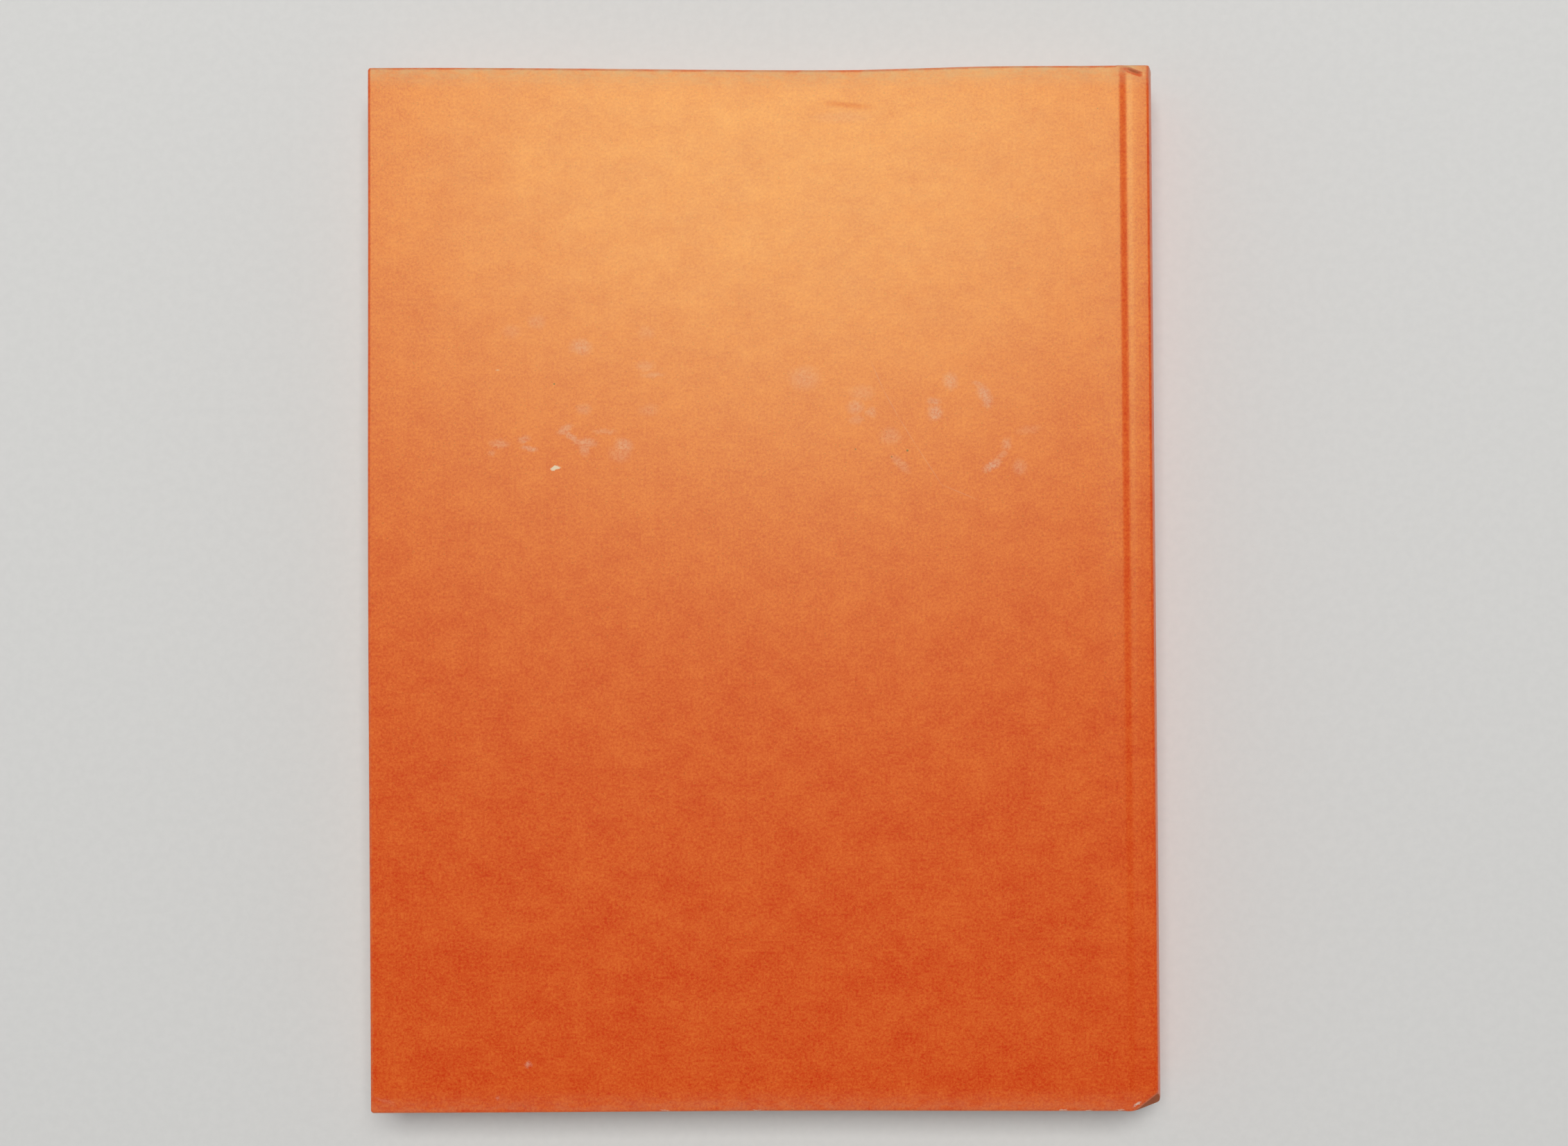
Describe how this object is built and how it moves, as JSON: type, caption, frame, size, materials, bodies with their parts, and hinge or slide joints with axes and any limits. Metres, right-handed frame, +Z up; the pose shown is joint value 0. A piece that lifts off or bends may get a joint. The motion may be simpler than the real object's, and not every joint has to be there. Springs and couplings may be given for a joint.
{
  "type": "cookbook",
  "caption": "Large hardcover cookbook in a plain mottled orange paper case, with a rounded spine and covers that open on joint grooves",
  "frame": {"origin": "on the ground under the centre of the closed book, which lies on its front cover", "axes": "+X towards the spine, +Y towards the head of the pages, +Z up from the front cover to the back cover"},
  "size_m": [0.2172, 0.2866, 0.024],
  "materials": {
    "cover_paper": "semi-matte mottled orange covering paper, scuffed",
    "leaf_paper": "trimmed edges of off-white leaves",
    "endpaper": "smooth uncoated off-white paper",
    "greyboard": "raw grey board",
    "kraft_paper": "brown kraft paper",
    "gauze": "open starched cotton gauze",
    "headband_cloth": "woven striped headband"
  },
  "bodies": {
    "pages": {"text_block": "leaf_paper", "mull": "gauze", "spine_liner": "kraft_paper", "head_headband": "headband_cloth", "tail_headband": "headband_cloth", "front_flyleaf": "endpaper", "back_flyleaf": "endpaper", "spine_inlay": "greyboard", "spine_cover_paper": "cover_paper"},
    "front_cover": {"front_board": "greyboard", "front_cover_paper": "cover_paper", "front_pastedown": "endpaper", "front_mull_flange": "gauze"},
    "back_cover": {"back_board": "greyboard", "back_cover_paper": "cover_paper", "back_pastedown": "endpaper", "back_mull_flange": "gauze"}
  },
  "joints": [
    {"name": "front_hinge", "type": "hinge", "parent": "pages", "child": "front_cover", "pos_m": [0.0985, 0, 0.00015], "axis": [0, -1, 0], "range_deg": [0, 180]},
    {"name": "back_hinge", "type": "hinge", "parent": "pages", "child": "back_cover", "pos_m": [0.0985, 0, 0.02385], "axis": [0, 1, 0], "range_deg": [0, 180]}
  ]
}
